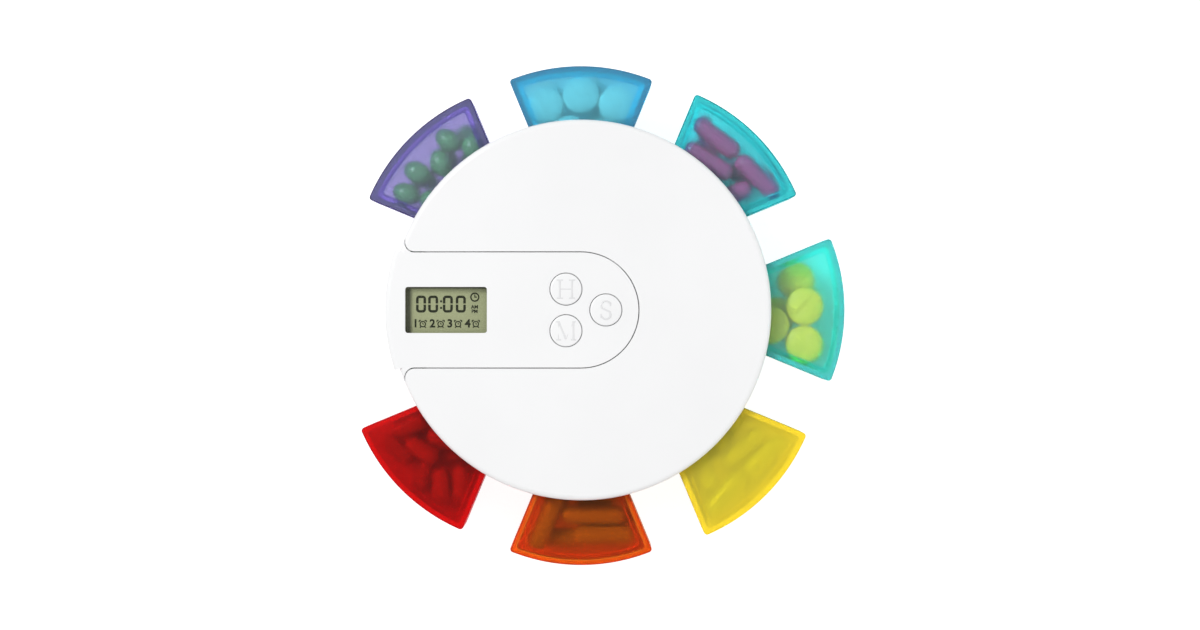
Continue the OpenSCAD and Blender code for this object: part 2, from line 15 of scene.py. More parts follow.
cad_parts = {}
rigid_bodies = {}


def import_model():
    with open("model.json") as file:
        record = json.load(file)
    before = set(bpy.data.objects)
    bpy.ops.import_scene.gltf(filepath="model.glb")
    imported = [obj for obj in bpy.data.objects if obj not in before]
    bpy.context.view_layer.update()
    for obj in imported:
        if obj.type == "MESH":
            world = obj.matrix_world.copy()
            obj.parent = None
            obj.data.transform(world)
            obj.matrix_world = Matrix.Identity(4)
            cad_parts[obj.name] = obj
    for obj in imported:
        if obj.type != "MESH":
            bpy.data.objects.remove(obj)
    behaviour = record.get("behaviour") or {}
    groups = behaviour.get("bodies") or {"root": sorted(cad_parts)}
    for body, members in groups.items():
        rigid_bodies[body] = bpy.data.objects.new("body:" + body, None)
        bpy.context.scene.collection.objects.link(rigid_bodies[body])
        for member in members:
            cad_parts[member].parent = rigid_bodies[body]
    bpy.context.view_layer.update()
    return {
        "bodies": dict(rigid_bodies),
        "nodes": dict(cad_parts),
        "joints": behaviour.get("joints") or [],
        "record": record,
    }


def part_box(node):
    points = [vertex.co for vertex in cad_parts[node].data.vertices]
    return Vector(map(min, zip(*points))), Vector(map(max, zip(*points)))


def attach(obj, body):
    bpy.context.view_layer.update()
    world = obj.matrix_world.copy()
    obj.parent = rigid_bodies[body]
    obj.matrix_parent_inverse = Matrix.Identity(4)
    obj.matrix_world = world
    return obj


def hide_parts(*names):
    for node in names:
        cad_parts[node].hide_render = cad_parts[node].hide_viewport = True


logging.basicConfig(level=logging.INFO, format="%(name)s: %(message)s")
log = logging.getLogger("pill_dispenser")

MM = 0.001
PLACES = 8
HALF_PLACE = math.pi / PLACES
Point2 = tuple[float, float]
Colour = tuple[float, float, float]
Turn = tuple[float, float, Colour]
Socket = bpy.types.NodeSocket
BLACK: Colour = (0.0, 0.0, 0.0)
WHITE: Colour = (1.0, 1.0, 1.0)


class Body(Enum):
    """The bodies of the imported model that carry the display's marks and the buttons' letters."""

    HOUSING = "housing"
    HOUR = "hour_press"
    MINUTE = "minute_press"
    SET = "set_press"


class PillKind(Enum):
    """Shape of the pills in a box, which also ends the piece's name."""

    TABLET = "tablets"
    SOFTGEL = "softgels"
    CAPSULE = "capsules"


# Materials


class Sketch:
    """A material's node tree, drawn node by node on Object coordinates."""

    def __init__(self, name: str) -> None:
        """Starts a named material's tree with its output and its Object coordinates."""
        self.material = bpy.data.materials.new(name)
        self.material.use_nodes = True
        self.tree = self.material.node_tree
        self.tree.nodes.clear()
        self.output = self.tree.nodes.new("ShaderNodeOutputMaterial")
        self.coordinates = self.tree.nodes.new("ShaderNodeTexCoord").outputs["Object"]

    def feed(self, target: Socket, value: Socket | float | Sequence[float]) -> None:
        """Joins a socket to an input, or sets the input to a constant."""
        if isinstance(value, Socket):
            self.tree.links.new(value, target)
        else:
            target.default_value = value

    def node(self, kind: str, **settings: object) -> bpy.types.Node:
        """Adds a node.

        Args:
            kind: the node's type name without the ShaderNode prefix.
            settings: attributes to set on it.

        Returns:
            The new node.
        """
        made = self.tree.nodes.new("ShaderNode" + kind)
        for key, value in settings.items():
            setattr(made, key, value)
        return made

    def noise(self, scale: float, detail: float = 2.0, roughness: float = 0.5) -> Socket:
        """Adds a noise pattern.

        Args:
            scale: cells in a metre.
            detail: octaves of finer noise.
            roughness: strength of those octaves.

        Returns:
            Its value socket.
        """
        made = self.node("TexNoise")
        made.inputs["Scale"].default_value = scale
        made.inputs["Detail"].default_value = detail
        made.inputs["Roughness"].default_value = roughness
        self.feed(made.inputs["Vector"], self.coordinates)
        return made.outputs["Fac"]

    def lines(self, scale: float, axis: str, distortion: float = 0.0) -> Socket:
        """Adds fine parallel lines.

        Args:
            scale: density of the lines.
            axis: X, Y or Z, across the lines.
            distortion: how much they waver.

        Returns:
            Their value socket.
        """
        made = self.node("TexWave", bands_direction=axis)
        made.inputs["Scale"].default_value = scale
        made.inputs["Distortion"].default_value = distortion
        self.feed(made.inputs["Vector"], self.coordinates)
        return made.outputs["Fac"]

    def ramp(self, axis: str, low: float, high: float) -> Socket:
        """Returns a ramp from 0 to 1 between two places on an axis, in metres."""
        split = self.node("SeparateXYZ")
        self.feed(split.inputs[0], self.coordinates)
        return self.spread(split.outputs[axis], 0, 1, low, high)

    def spread(
        self, source: Socket, low: float, high: float, start: float = 0.3, end: float = 0.7
    ) -> Socket:
        """Maps a pattern's middle range to a range of values.

        Args:
            source: the pattern.
            low: value at and below the start.
            high: value at and above the end.
            start: where the pattern's used range starts.
            end: where it ends.

        Returns:
            The mapped socket.
        """
        made = self.node("MapRange")
        limits = {"From Min": start, "From Max": end, "To Min": low, "To Max": high}
        for name, value in limits.items():
            made.inputs[name].default_value = value
        self.feed(made.inputs["Value"], source)
        return made.outputs["Result"]

    def blend(self, share: Socket, first: Colour | Socket, second: Colour) -> Socket:
        """Mixes two colours by a pattern.

        Args:
            share: the pattern, 0 for the first colour and 1 for the second.
            first: linear colour, or the socket that gives it.
            second: linear colour.

        Returns:
            The colour socket.
        """
        made = self.node("Mix", data_type="RGBA")
        self.feed(made.inputs["Factor"], share)
        self.feed(made.inputs["A"], first if isinstance(first, Socket) else (*first, 1))
        self.feed(made.inputs["B"], (*second, 1))
        return made.outputs["Result"]

    def math(self, operation: str, first: Socket, second: Socket | float) -> Socket:
        """Returns the result of a sum on a socket and another or a constant."""
        made = self.node("Math", operation=operation)
        self.feed(made.inputs[0], first)
        self.feed(made.inputs[1], second)
        return made.outputs[0]

    def bump(self, height: Socket, distance: float, strength: float = 0.5) -> Socket:
        """Turns a pattern into relief.

        Args:
            height: the pattern.
            distance: depth of the relief in metres.
            strength: share of it that shows.

        Returns:
            The normal socket.
        """
        made = self.node("Bump")
        made.inputs["Distance"].default_value = distance
        made.inputs["Strength"].default_value = strength
        self.feed(made.inputs["Height"], height)
        return made.outputs["Normal"]

    def principled(self, **values: Socket | float | Sequence[float]) -> bpy.types.Node:
        """Adds the main shader and joins it to the output.

        Args:
            values: sockets to join or constants to set, by input with _ for a space.

        Returns:
            The shader node.
        """
        made = self.node("BsdfPrincipled")
        for key, value in values.items():
            self.feed(made.inputs[key.replace("_", " ")], value)
        self.feed(self.output.inputs["Surface"], made.outputs["BSDF"])
        return made

    def mix(self, share: Socket, first: bpy.types.Node, second: bpy.types.Node) -> None:
        """Joins two shaders, mixed by a share, to the output."""
        made = self.node("MixShader")
        self.feed(made.inputs["Fac"], share)
        self.feed(made.inputs[1], first.outputs["BSDF"])
        self.feed(made.inputs[2], second.outputs["BSDF"])
        self.feed(self.output.inputs["Surface"], made.outputs["Shader"])


def toward(colour: Colour, other: Colour, share: float) -> Colour:
    """Returns a colour moved by a share towards another."""
    return tuple(a + (b - a) * share for a, b in zip(colour, other))


@dataclass(frozen=True)
class Finish:
    """A procedural finish, drawn as a node tree."""

    name: str

    def draw(self, s: Sketch) -> None:
        """Draws the finish."""
        raise NotImplementedError

    def material(self) -> bpy.types.Material:
        """Returns the finish as a material."""
        s = Sketch(self.name)
        self.draw(s)
        return s.material


@dataclass(frozen=True)
class MouldedPlastic(Finish):
    """Opaque moulded plastic with a fine spark-eroded grain."""

    colour: Colour
    roughness: float = 0.42
    grain: float = 1600.0
    relief: float = 10e-6
    shift: float = 0.03
    shine: float = 0.4

    def draw(self, s: Sketch) -> None:
        """Draws the finish."""
        darker = toward(self.colour, BLACK, self.shift)
        s.principled(
            Base_Color=s.blend(s.spread(s.noise(24, 3), 0, 1), self.colour, darker),
            Roughness=s.spread(s.noise(110, 4), self.roughness - 0.04, self.roughness + 0.05),
            Normal=s.bump(s.noise(self.grain, 3, 0.6), self.relief),
            Specular_IOR_Level=self.shine,
        )


@dataclass(frozen=True)
class TintedPlastic(Finish):
    """Translucent tinted plastic: a frosted skin, a share that scatters and a colour that deepens.

    low is what two skins let through at the bottom, and each turn is a pair of heights in metres
    between which that becomes another colour. film is what they let through to a lamp, and deep
    what a wall does besides over its full height. A share under least counts as least, so that
    the absorption stays finite.
    """

    low: Colour
    turns: tuple[Turn, ...]
    film: Colour
    deep: Colour
    cloud: float
    roughness: float = 0.42
    wall_height: float = 0.019
    bending: float = 1.2
    least: float = 0.004

    def draw(self, s: Sketch) -> None:
        """Draws the finish."""
        tint: Colour | Socket = self.low
        for start, end, colour in self.turns:
            tint = s.blend(s.ramp("Z", start, end), tint, colour)
        skin = s.principled(
            Base_Color=tint,
            Roughness=s.spread(s.noise(240, 3), self.roughness - 0.03, self.roughness + 0.04),
            Normal=s.bump(s.noise(900, 3, 0.6), 15e-6),
            Transmission_Weight=1 - self.cloud,
            IOR=self.bending,
            Specular_IOR_Level=0.15,
        )
        loss = [-math.log(max(c, self.least)) / self.wall_height for c in self.deep]
        volume = s.node("VolumeAbsorption")
        volume.inputs["Density"].default_value = max(loss)
        volume.inputs["Color"].default_value = (*(1 - x / max(loss) for x in loss), 1)
        s.feed(s.output.inputs["Volume"], volume.outputs["Volume"])
        film = s.node("BsdfTransparent")
        film.inputs["Color"].default_value = (*(math.sqrt(c) for c in self.film), 1)
        s.mix(s.node("LightPath").outputs["Is Shadow Ray"], skin, film)


@dataclass(frozen=True)
class ClearPane(Finish):
    """Clear moulded lens: mostly see-through, with a polished skin and faint flow marks."""

    colour: Colour = (0.9, 0.93, 0.92)
    solid: float = 0.012

    def draw(self, s: Sketch) -> None:
        """Draws the finish."""
        darker = toward(self.colour, BLACK, 0.04)
        s.principled(
            Base_Color=s.blend(s.noise(60), self.colour, darker),
            Roughness=s.spread(s.noise(35, 2), 0.03, 0.07),
            Normal=s.bump(s.noise(20), 6e-6, 0.2),
            Alpha=self.solid,
            Specular_IOR_Level=0.2,
        )


@dataclass(frozen=True)
class DisplayFilm(Finish):
    """Grey-green polarising film over a sparkling reflector, with strips of painted shade where the
    bezel shades it.

    left and top are where the strips of painted shade start and end, in metres, and deep how light
    they are.
    """

    colour: Colour
    sparkle: Colour
    left: Point2
    top: Point2
    deep: float = 0.25

    def draw(self, s: Sketch) -> None:
        """Draws the finish."""
        fine = s.spread(s.noise(3200, 2, 0.7), 0, 1, 0.25, 0.75)
        # painted shade: the film's colour falls to deep times itself in strips along its left and
        # top edges, on top of the shadow the bezel casts
        shade = tuple(c * self.deep for c in self.colour)
        tint = s.blend(s.ramp("X", *self.left), shade, self.colour)
        tint = s.blend(s.ramp("Y", *self.top), tint, shade)
        glint = s.node("Mix", data_type="RGBA", blend_type="MULTIPLY")
        s.feed(glint.inputs["Factor"], 1.0)
        s.feed(glint.inputs["A"], tint)
        s.feed(glint.inputs["B"], s.blend(fine, WHITE, self.sparkle))
        s.principled(
            Base_Color=glint.outputs["Result"],
            Roughness=s.spread(s.noise(160), 0.3, 0.38),
            Normal=s.bump(s.noise(4000), 2e-6, 0.3),
            Specular_IOR_Level=0.3,
        )


@dataclass(frozen=True)
class PlatedMetal(Finish):
    """Plated or drawn metal with fine brushing."""

    colour: Colour
    roughness: float = 0.28

    def draw(self, s: Sketch) -> None:
        """Draws the finish."""
        darker = toward(self.colour, BLACK, 0.18)
        brushing = s.lines(900, "X", 3)
        s.principled(
            Base_Color=s.blend(s.spread(s.noise(180, 4), 0, 1), self.colour, darker),
            Roughness=s.spread(brushing, self.roughness, self.roughness + 0.12, 0, 1),
            Normal=s.bump(s.noise(2400, 3), 3e-6, 0.4),
            Metallic=1.0,
        )


@dataclass(frozen=True)
class BoardLacquer(Finish):
    """Green solder mask over copper tracks and a glass weave."""

    colour: Colour
    track: Colour

    def draw(self, s: Sketch) -> None:
        """Draws the finish."""
        tracks = s.spread(s.lines(95, "X", 7), 0, 1, 0.62, 0.66)
        weave = s.math("MULTIPLY", s.lines(420, "X"), s.lines(420, "Y"))
        s.principled(
            Base_Color=s.blend(tracks, self.colour, self.track),
            Roughness=s.spread(s.noise(300), 0.25, 0.4),
            Normal=s.bump(weave, 8e-6, 0.4),
            Specular_IOR_Level=0.5,
            Coat_Weight=0.3,
            Coat_Roughness=0.1,
        )


@dataclass(frozen=True)
class PillCoat(Finish):
    """Coating of a tablet, or the shell of a softgel or capsule."""

    colour: Colour
    roughness: float = 0.4
    gloss: float = 0.0

    def draw(self, s: Sketch) -> None:
        """Draws the finish."""
        mottle = s.spread(s.noise(420, 4, 0.6), 0, 1)
        s.principled(
            Base_Color=s.blend(mottle, self.colour, toward(self.colour, BLACK, 0.1)),
            Roughness=s.spread(s.noise(600), self.roughness - 0.05, self.roughness + 0.08),
            Normal=s.bump(s.noise(2600, 3), 6e-6),
            Specular_IOR_Level=0.4,
            Coat_Weight=self.gloss,
            Coat_Roughness=0.12,
        )


# Meshes

WELD = 1e-7  # metres within which the points of a spun profile are one
CAD_WELD = 2e-7  # the same for a CAD node's mesh
MARK_WELD = 1e-8  # the same for drawn marks
FLAT_ANGLE = 0.3  # degrees under which two CAD faces are one
TOP_BAND = 1e-5  # metres within which a point counts as part of the top face


def as_object(bm: bmesh.types.BMesh, name: str, crease: float = 32.0) -> bpy.types.Object:
    """Turns a finished bmesh into an object at the origin, smooth up to a crease angle.

    Args:
        bm: the mesh in row-frame metres, freed here.
        name: the piece's name.
        crease: angle in degrees past which an edge stays sharp.

    Returns:
        The linked object.
    """
    mesh = bpy.data.meshes.new(name)
    bm.to_mesh(mesh)
    bm.free()
    mesh.polygons.foreach_set("use_smooth", [True] * len(mesh.polygons))
    mesh.set_sharp_from_angle(angle=math.radians(crease))
    made = bpy.data.objects.new(name, mesh)
    bpy.context.scene.collection.objects.link(made)
    return made


def turned(profile: Sequence[Point2], steps: int) -> bmesh.types.BMesh:
    """Spins a profile round Z into a closed solid.

    Args:
        profile: (radius, height) pairs in metres, from pole to pole.
        steps: faces round the axis.

    Returns:
        The solid as a bmesh.
    """
    bm = bmesh.new()
    verts = [bm.verts.new((r, 0, z)) for r, z in profile]
    edges = [bm.edges.new(pair) for pair in zip(verts, verts[1:])]
    bmesh.ops.spin(
        bm, geom=verts + edges, cent=(0, 0, 0), axis=(0, 0, 1), dvec=(0, 0, 0),
        angle=2 * math.pi, steps=steps, use_merge=True, use_duplicate=False,
    )
    bmesh.ops.remove_doubles(bm, verts=bm.verts, dist=WELD)
    bmesh.ops.recalc_face_normals(bm, faces=bm.faces)
    return bm


def rounded_copy(
    node: bpy.types.Object, name: str, radius: float, corner: float = 50.0, sink: float = 0.0
) -> bpy.types.Object:
    """Copies a CAD node's shape with its sharp edges rounded, as moulding leaves them.

    Args:
        node: the CAD node's object, which is left as it is.
        name: the new piece's name.
        radius: radius of the rounding in metres.
        corner: edges sharper than this many degrees are rounded.
        sink: how far the top face drops, so that it doesn't share a plane with what lies on it.

    Returns:
        The new piece.
    """
    bm = bmesh.new()
    bm.from_mesh(node.data)
    bmesh.ops.remove_doubles(bm, verts=bm.verts, dist=CAD_WELD)
    bmesh.ops.dissolve_limit(
        bm, angle_limit=math.radians(FLAT_ANGLE), verts=bm.verts, edges=bm.edges
    )
    sharp = [e for e in bm.edges if e.is_manifold and e.calc_face_angle() > math.radians(corner)]
    bmesh.ops.bevel(
        bm, geom=sharp, offset=radius, offset_type="OFFSET", segments=3, profile=0.5,
        affect="EDGES", clamp_overlap=True, material=-1,
    )
    top = max(v.co.z for v in bm.verts)
    for v in bm.verts:
        if v.co.z > top - TOP_BAND:
            v.co.z -= sink
    bmesh.ops.triangulate(bm, faces=[f for f in bm.faces if len(f.verts) > 4])
    return as_object(bm, name)


def arc(centre: Point2, radius: float, start: float, end: float, steps: int = 8) -> list[Point2]:
    """Returns points along an arc between two angles in degrees."""
    angles = (math.radians(start + (end - start) * i / steps) for i in range(steps + 1))
    return [(centre[0] + radius * math.cos(a), centre[1] + radius * math.sin(a)) for a in angles]


@dataclass(frozen=True)
class Stroke:
    """A drawn line of one width, in millimetres."""

    points: Sequence[Point2]
    width: float
    closed: bool = False


class Lettering:
    """Draws marks as low raised strokes or as raised text."""

    CAPITAL = 0.68  # height of the font's capitals as a share of its size

    def __init__(self) -> None:
        """Starts with nothing drawn."""
        self.bm = bmesh.new()

    def absorb(self, made: bpy.types.Object, matrix: Matrix) -> None:
        """Adds a curve or text object's mesh, transformed, and removes the object."""
        bpy.context.scene.collection.objects.link(made)
        bpy.context.view_layer.update()
        graph = bpy.context.evaluated_depsgraph_get()
        mesh = bpy.data.meshes.new_from_object(made.evaluated_get(graph))
        mesh.transform(matrix)
        self.bm.from_mesh(mesh)
        bpy.data.meshes.remove(mesh)
        bpy.data.objects.remove(made)

    def strokes(self, strokes: Iterable[Stroke], centre: Point2, thickness: float) -> None:
        """Adds strokes round a centre.

        Args:
            strokes: the strokes in millimetres from the centre.
            centre: the centre in millimetres in the row frame.
            thickness: full thickness in millimetres of the widest stroke.
        """
        strokes = list(strokes)
        widest = max(s.width for s in strokes)
        data = bpy.data.curves.new("strokes", "CURVE")
        data.dimensions = "3D"
        data.bevel_depth = widest / 2
        data.bevel_resolution = 2
        data.use_fill_caps = True
        for s in strokes:
            spline = data.splines.new("POLY")
            spline.points.add(len(s.points) - 1)
            spline.use_cyclic_u = s.closed
            for point, (x, y) in zip(spline.points, s.points):
                point.co = (x, y, 0, 1)
                point.radius = s.width / widest
        matrix = (
            Matrix.Scale(MM, 4)
            @ Matrix.Translation((centre[0], centre[1], 0))
            @ Matrix.Diagonal((1, 1, thickness / widest, 1))
        )
        self.absorb(bpy.data.objects.new("strokes", data), matrix)

    def text(
        self, words: str, height: float, centre: Point2, thickness: float, weight: float = 0.0
    ) -> None:
        """Adds upright text, centred.

        Args:
            words: the characters.
            height: height of a capital in millimetres.
            centre: its centre in millimetres in the row frame.
            thickness: full thickness in millimetres.
            weight: how much the outline is spread, in millimetres.
        """
        data = bpy.data.curves.new("text", "FONT")
        data.body = words
        data.size = height / self.CAPITAL
        data.align_x = "CENTER"
        data.align_y = "CENTER"
        data.extrude = thickness / 2
        data.offset = weight
        data.resolution_u = 3
        matrix = Matrix.Scale(MM, 4) @ Matrix.Translation((centre[0], centre[1], 0))
        self.absorb(bpy.data.objects.new("text", data), matrix)

    def finish(
        self, name: str, level: float, drop: float = 0.0, middle: Point2 = (0, 0)
    ) -> bpy.types.Object:
        """Sets the marks on their surface and makes them one piece.

        Args:
            name: the piece's name.
            level: height of the surface in metres.
            drop: curvature of a domed surface, in 1/metre, or 0 for a flat one.
            middle: the dome's middle in metres.

        Returns:
            The piece.
        """
        bmesh.ops.remove_doubles(self.bm, verts=self.bm.verts, dist=MARK_WELD)
        for v in self.bm.verts:
            x, y = v.co.x - middle[0], v.co.y - middle[1]
            v.co.z += level - (x * x + y * y) * drop / 2
        bmesh.ops.recalc_face_normals(self.bm, faces=self.bm.faces)
        return as_object(self.bm, name, 40)


# The display


@dataclass
class Display:
    """The timer's display: digits, a clock, day halves and four numbered alarms, in millimetres."""

    digit_x: tuple[float, ...] = (-46.25, -42.75, -38.5, -34.75)
    digit_y: float = 1.7
    digit_w: float = 2.15
    digit_h: float = 4.2
    digit_stroke: float = 0.74
    digit_corner: float = 0.62
    split: float = 0.16
    colon: tuple[Point2, ...] = ((-40.45, 2.5), (-40.45, 0.6))
    colon_half: float = 0.3
    clock: Point2 = (-30.7, 3.7)
    clock_radius: float = 1.15
    clock_stroke: float = 0.42
    alarm_x: tuple[float, ...] = (-45.75, -40.6, -35.55, -30.4)
    alarm_y: float = -4.0
    alarm_radius: float = 0.78
    alarm_stroke: float = 0.34
    number_x: tuple[float, ...] = (-47.85, -42.95, -37.9, -32.75)
    number_height: float = 2.2
    halves: tuple[tuple[str, Point2], ...] = (("AM", (-30.75, 0.85)), ("PM", (-30.75, -0.45)))
    half_height: float = 0.95
    relief: float = 0.05
    ink: Colour = (0.014, 0.018, 0.004)
    film: Colour = (0.4, 0.43, 0.24)
    sparkle: Colour = (0.8, 0.81, 0.78)
    # where the film's strips of painted shade, deepening the bezel's shadow, start and end, in
    # metres
    shade_left: Point2 = (-49.6 * MM, -48.7 * MM)
    shade_top: Point2 = (5.9 * MM, 6.4 * MM)

    def zero(self, x: float) -> list[Stroke]:
        """Returns the six lit segments of a nought round x, as two bent strokes."""
        w, h, r = self.digit_w / 2, self.digit_h / 2, self.digit_corner
        upper = [(x - w, self.split), (x - w, h - r)]
        upper += arc((x - w + r, h - r), r, 180, 90, 5) + arc((x + w - r, h - r), r, 90, 0, 5)
        upper += [(x + w, self.split)]
        lower = [(px, -py) for px, py in upper]
        shift = [[(px, py + self.digit_y) for px, py in line] for line in (upper, lower)]
        return [Stroke(line, self.digit_stroke) for line in shift]

    def clock_face(self) -> list[Stroke]:
        """Returns the round clock at the upper right."""
        x, y = self.clock
        return [
            Stroke(arc((x, y), self.clock_radius, 0, 345, 24), self.clock_stroke, closed=True),
            Stroke([(x, y + 0.75), (x, y), (x + 0.6, y + 0.05)], 0.4),
        ]

    def alarm(self, x: float) -> list[Stroke]:
        """Returns a small alarm clock round x, with two bells and feet."""
        y, wide = self.alarm_y - 0.08, self.alarm_stroke
        face = Stroke(arc((x, y), self.alarm_radius, 0, 340, 18), wide, closed=True)
        hands = Stroke([(x, y + 0.42), (x, y), (x + 0.34, y)], 0.28)
        bells = [
            Stroke(arc((x + s * 0.78, y + 0.8), 0.3, 90 - s * 140, 90 + s * 50, 5), wide)
            for s in (-1, 1)
        ]
        feet = [
            Stroke([(x + s * 0.5, y - 0.66), (x + s * 0.85, y - 1.06)], wide) for s in (-1, 1)
        ]
        return [face, hands, *bells, *feet]

    def build(self, frame: dict) -> None:
        """Makes the marks and dresses the display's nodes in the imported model."""
        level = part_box("lcd_glass")[1].z
        ink = MouldedPlastic(
            "display_ink", self.ink, roughness=0.6, grain=2600, relief=2e-6, shift=0.3, shine=0.05
        ).material()
        digits = Lettering()
        for x in self.digit_x:
            digits.strokes(self.zero(x), (0, 0), self.relief)
        for x, y in self.colon:
            dot = Stroke([(x - self.colon_half, y), (x + self.colon_half, y)], 2 * self.colon_half)
            digits.strokes([dot], (0, 0), self.relief)
        marks = Lettering()
        marks.strokes(self.clock_face(), (0, 0), self.relief)
        for number, (x, at) in enumerate(zip(self.alarm_x, self.number_x), 1):
            marks.strokes(self.alarm(x), (0, 0), self.relief)
            marks.text(str(number), self.number_height, (at, self.alarm_y), self.relief, 0.11)
        for words, centre in self.halves:
            marks.text(words, self.half_height, centre, self.relief, 0.05)
        for name, drawn in (("display_digits", digits), ("display_marks", marks)):
            piece = drawn.finish(name, level)
            piece.data.materials.append(ink)
            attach(piece, Body.HOUSING.value)
            log.info("%s: %d faces", name, len(piece.data.polygons))
        film = DisplayFilm(
            "display_film", self.film, self.sparkle, self.shade_left, self.shade_top
        ).material()
        lens = ClearPane("clear_lens_skin").material()
        frame["nodes"]["lcd_glass"].material_slots[0].material = film
        frame["nodes"]["lcd_lens"].material_slots[0].material = lens


# The buttons


@dataclass
class PushButton:
    """A round button with a raised serif letter on its domed cap, in millimetres."""

    node: str
    body: Body
    letter: str
    stem: float = 0.72
    hair: float = 0.4
    bend: float = 0.55
    height: float = 5.2
    relief: float = 0.34
    dome_radius: float = 32.93

    def serif(self, x: float, y: float, reach: float) -> Stroke:
        """Returns a serif round a point, as long as twice its reach."""
        return Stroke([(x - reach, y), (x + reach, y)], self.hair)

    def strokes(self) -> list[Stroke]:
        """Returns the letter's strokes in millimetres from the button's middle."""
        h, thick, thin = self.height / 2, self.stem, self.hair
        if self.letter == "H":
            w = 1.75
            stems = [Stroke([(x, -h), (x, h)], thick) for x in (-w, w)]
            serifs = [self.serif(x, y, 0.85) for x in (-w, w) for y in (-h, h)]
            return [*stems, Stroke([(-w, 0), (w, 0)], thin), *serifs]
        if self.letter == "M":
            w, low = 2.15, (0, -h * 0.9)
            outer = [Stroke([(-w, -h), (-w, h)], thin), Stroke([(w, -h), (w, h)], thick)]
            inner = [Stroke([(-w, h), low], thick), Stroke([low, (w, h)], thin)]
            feet = [self.serif(x, -h, 0.7) for x in (-w, w)]
            heads = [self.serif(x, h, 0.5) for x in (-2.3, 2.3)]
            return [*outer, *inner, *feet, *heads]
        bend = arc((0, 1.25), 1.3, 20, 215, 14) + arc((0, -1.3), 1.35, 35, -160, 14)
        ends = ([(1.35, 1.1), (1.35, 2.2)], [(-1.4, -2.3), (-1.4, -1.1)])
        tips = [Stroke(points, thin) for points in ends]
        return [Stroke(bend, self.bend), *tips]

    def build(self, frame: dict, cap: bpy.types.Material, mark: bpy.types.Material) -> None:
        """Raises the letter and dresses the cap and the mark with their materials."""
        low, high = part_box(self.node)
        middle = ((low.x + high.x) / 2, (low.y + high.y) / 2)
        curvature = 1 / (self.dome_radius * MM)
        drawn = Lettering()
        drawn.strokes(self.strokes(), (middle[0] / MM, middle[1] / MM), self.relief)
        piece = drawn.finish(self.node + "_letter", high.z, curvature, middle)
        piece.data.materials.append(mark)
        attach(piece, self.body.value)
        frame["nodes"][self.node].material_slots[0].material = cap
        log.info("%s: letter of %d faces", self.node, len(piece.data.polygons))


# The boxes


def step(level: float, start: float, end: float, colour: Colour) -> Turn:
    """Returns a turn to a colour between two heights, in millimetres from a level in metres."""
    return (level + start * MM, level + end * MM, colour)


@dataclass(frozen=True)
class Pill:
    """Place of one pill in its closed box: how far out and across, its turn, how far down.

    The lengths are in millimetres and the turn in degrees.
    """

    along: float
    across: float
    turn: float = 0.0
    down: float = 0.0


@dataclass(frozen=True)
class Filling:
    """What a box holds, with its size in millimetres and the pills that show through the lid.

    far is how far out the lower layers reach, near how far out the top layer is filled up besides.
    """

    kind: PillKind
    colour: Colour
    length: float
    thick: float
    top: tuple[Pill, ...]
    layers: int = 3
    far: float = 53.0
    near: float = 38.0
    seed: int = 1

    @property
    def width(self) -> float:
        """Returns a pill's width seen from above, in millimetres."""
        return self.length if self.kind is PillKind.TABLET else self.thick

    def shape(self) -> bmesh.types.BMesh:
        """Returns one pill, lying along X for a capsule and flat for a tablet, in metres."""
        if self.kind is PillKind.TABLET:
            return self.tablet()
        capsule = self.kind is PillKind.CAPSULE
        bm = turned(self.capsule_profile() if capsule else self.softgel_profile(), 24)
        bmesh.ops.rotate(bm, verts=bm.verts, matrix=Matrix.Rotation(math.pi / 2, 3, "Y"))
        return bm

    def tablet(self) -> bmesh.types.BMesh:
        """Returns a round tablet with domed faces, a plain band and a score across its top."""
        r, half, band = self.length / 2 * MM, self.thick / 2 * MM, self.thick * 0.24 * MM
        steps, rise = 7, half - band
        angles = [i / steps * math.pi / 2 for i in range(steps)]
        dome = [(r * math.sin(a), band + rise * math.cos(a)) for a in angles]
        profile = dome + [(r, band)] + [(x, -z) for x, z in reversed([*dome, (r, band)])]
        bm = turned(profile, 36)
        for v in bm.verts:
            if v.co.z > band and abs(v.co.y) < 0.12 * r:
                v.co.z -= 0.25 * rise
        return bm

    def capsule_profile(self) -> list[Point2]:
        """Returns a capsule's profile, with the cap's edge past its middle."""
        r, half = self.thick / 2 * MM, self.length / 2 * MM
        body = r * 0.965
        left = arc((0, 0), 1, 180, 90, 7)
        start = [(y * body, -half + body + x * body) for x, y in left]
        step = 0.12 * half
        cap = [(y * r, half - r - x * r) for x, y in reversed(left)]
        return start + [(body, step), (r, step + 0.0001), (r, step + 0.0006)] + cap

    def softgel_profile(self) -> list[Point2]:
        """Returns an oval softgel's profile, with a faint seam at its middle."""
        r, half, steps = self.thick / 2 * MM, self.length / 2 * MM, 20
        angles = [math.pi * i / steps for i in range(steps + 1)]
        seam = [1.012 if i == steps // 2 else 1 for i in range(steps + 1)]
        return [(r * math.sin(a) * s, -half * math.cos(a)) for a, s in zip(angles, seam)]


@dataclass(frozen=True)
class Inside:
    """Free space of a closed box, in millimetres from the body's axis.

    The hump is where the floor rises over the key of the base.
    """

    near: float = 20.9
    far: float = 53.1
    wall: float = 1.75
    floor: float = 4.05
    hump: float = 5.45
    hump_end: float = 33.2
    hump_half: float = 4.3
    ceiling: float = 21.3

    def room(self, along: float, across: float) -> float:
        """Returns the distance from a point to the nearest wall."""
        reach = math.hypot(along, across)
        side = along * math.sin(HALF_PLACE) - abs(across) * math.cos(HALF_PLACE) - self.wall
        return min(side, self.far - reach, reach - self.near)

    def ground(self, along: float, across: float, deep: float, wide: float) -> float:
        """Returns the height of what a pill of a size along and across the box lies on."""
        over = along - deep / 2 < self.hump_end and abs(across) - wide / 2 < self.hump_half
        return self.hump if over else self.floor


